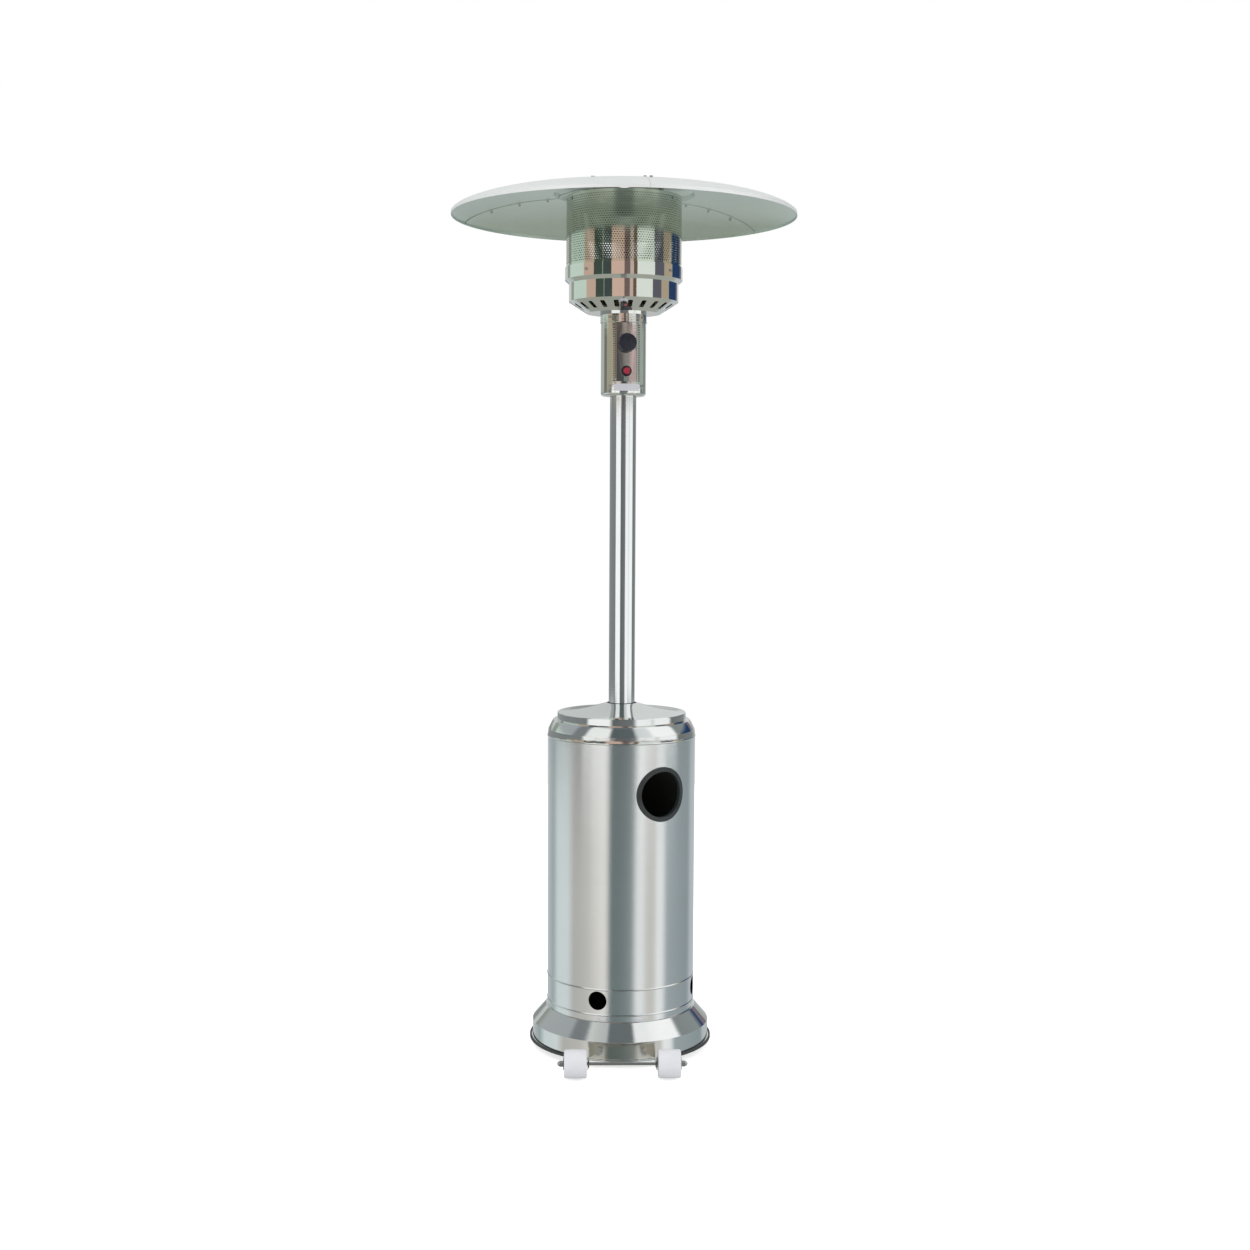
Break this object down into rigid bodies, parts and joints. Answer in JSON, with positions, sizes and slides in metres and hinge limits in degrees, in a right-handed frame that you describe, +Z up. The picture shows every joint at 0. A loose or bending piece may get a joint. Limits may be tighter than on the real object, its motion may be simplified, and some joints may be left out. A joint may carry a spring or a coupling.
{
  "type": "gas patio heater",
  "caption": "Free-standing gas patio heater with a round base, wheels, a lift-up bottle housing, a pole, a slotted bowl with a perforated emitter and a wide reflector.",
  "frame": {"origin": "on the ground under the pole, at the centre of the reflector circle", "axes": "+Z up along the pole, -Y towards the front with the wheels and controls, +X to the right of a viewer in front"},
  "size_m": [0.8619, 0.8619, 2.1903],
  "materials": {
    "galvanised": "zinc plated",
    "polished_base": "satin polished",
    "edge_trim": "matte",
    "rubber": "matte",
    "fastener": "zinc plated",
    "dark_washer": "oiled",
    "bracket_steel": "satin",
    "white_plastic": "smooth",
    "brass": "turned",
    "copper": "drawn",
    "brushed_housing": "brushed along the height",
    "polished_cover": "spun",
    "pole_steel": "bright",
    "black_plastic": "fine texture",
    "mirror_steel": "mirror polished",
    "escutcheon_steel": "satin",
    "plate_white": "satin",
    "valve_zinc": "cast",
    "knob_black": "moulded",
    "button_red": "glossy",
    "ceramic": "glazed",
    "burner_steel": "heat dulled",
    "emitter_steel": "perforated",
    "reflector_aluminium": "bright, matte below"
  },
  "bodies": {
    "frame": {"base_plate": "galvanised", "base_skirt": "polished_base", "base_edge_trim": "edge_trim", "rubber_feet": "rubber", "foot_screws": "fastener", "wheel_bracket": "bracket_steel", "bracket_bolts": "fastener", "axle": "fastener", "axle_nuts": "fastener", "axle_washers": "dark_washer", "support_leg_left": "galvanised", "support_leg_right": "galvanised", "support_leg_rear": "galvanised", "leg_bolts": "fastener", "leg_nuts": "fastener", "post_plate": "galvanised", "pole": "pole_steel", "pole_bolts": "fastener", "pole_nuts": "fastener", "gas_inlet_fitting": "brass", "gas_pipe": "copper", "head_frame": "galvanised", "frame_bolts": "fastener", "control_housing_front": "mirror_steel", "control_housing_rear": "mirror_steel", "head_collar": "mirror_steel", "head_screws": "fastener", "control_panel": "mirror_steel", "escutcheon": "escutcheon_steel", "blank_plate": "plate_white", "valve_body": "valve_zinc", "igniter_body": "black_plastic", "igniter_bezel": "knob_black", "tilt_switch": "black_plastic", "thermocouple": "copper", "pilot_burner": "brass", "ignition_electrode": "ceramic", "injector": "brass", "burner_tube": "burner_steel", "burner_head": "burner_steel", "bowl": "mirror_steel", "emitter_screen": "emitter_steel", "emitter_top_plate": "burner_steel", "reflector_panel_1": "reflector_aluminium", "reflector_panel_2": "reflector_aluminium", "reflector_panel_3": "reflector_aluminium", "seam_screws": "fastener", "reflector_studs": "fastener", "wing_nuts": "fastener"},
    "housing": {"tank_housing": "brushed_housing", "shoulder_ring": "polished_cover", "top_cover": "polished_cover", "pole_seal": "rubber", "hand_hole_trim_front": "black_plastic", "hand_hole_trim_rear": "black_plastic"},
    "wheel_left": {"wheel_left": "white_plastic"},
    "wheel_right": {"wheel_right": "white_plastic"},
    "valve_stem": {"valve_stem": "valve_zinc"},
    "knob": {"knob": "knob_black"},
    "igniter_button": {"igniter_button": "button_red"}
  },
  "joints": [
    {"name": "housing_lift", "type": "slide", "parent": "frame", "child": "housing", "axis": [0, 0, 1], "range_m": [0, 0.7]},
    {"name": "wheel_left_spin", "type": "hinge", "parent": "frame", "child": "wheel_left", "pos_m": [-0.1135, -0.3, 0.0384], "axis": [1, 0, 0], "continuous": true},
    {"name": "wheel_right_spin", "type": "hinge", "parent": "frame", "child": "wheel_right", "pos_m": [0.1135, -0.3, 0.0384], "axis": [1, 0, 0], "continuous": true},
    {"name": "knob_push", "type": "slide", "parent": "frame", "child": "valve_stem", "axis": [-0.1392, 0.9903, 0], "range_m": [0, 0.004], "stiffness_N_per_m": 900},
    {"name": "knob_turn", "type": "hinge", "parent": "valve_stem", "child": "knob", "pos_m": [0.00765, -0.05446, 1.78495], "axis": [0.1392, -0.9903, 0], "range_deg": [0, 180]},
    {"name": "igniter_push", "type": "slide", "parent": "frame", "child": "igniter_button", "axis": [-0.1392, 0.9903, 0], "range_m": [0, 0.005], "stiffness_N_per_m": 700}
  ]
}
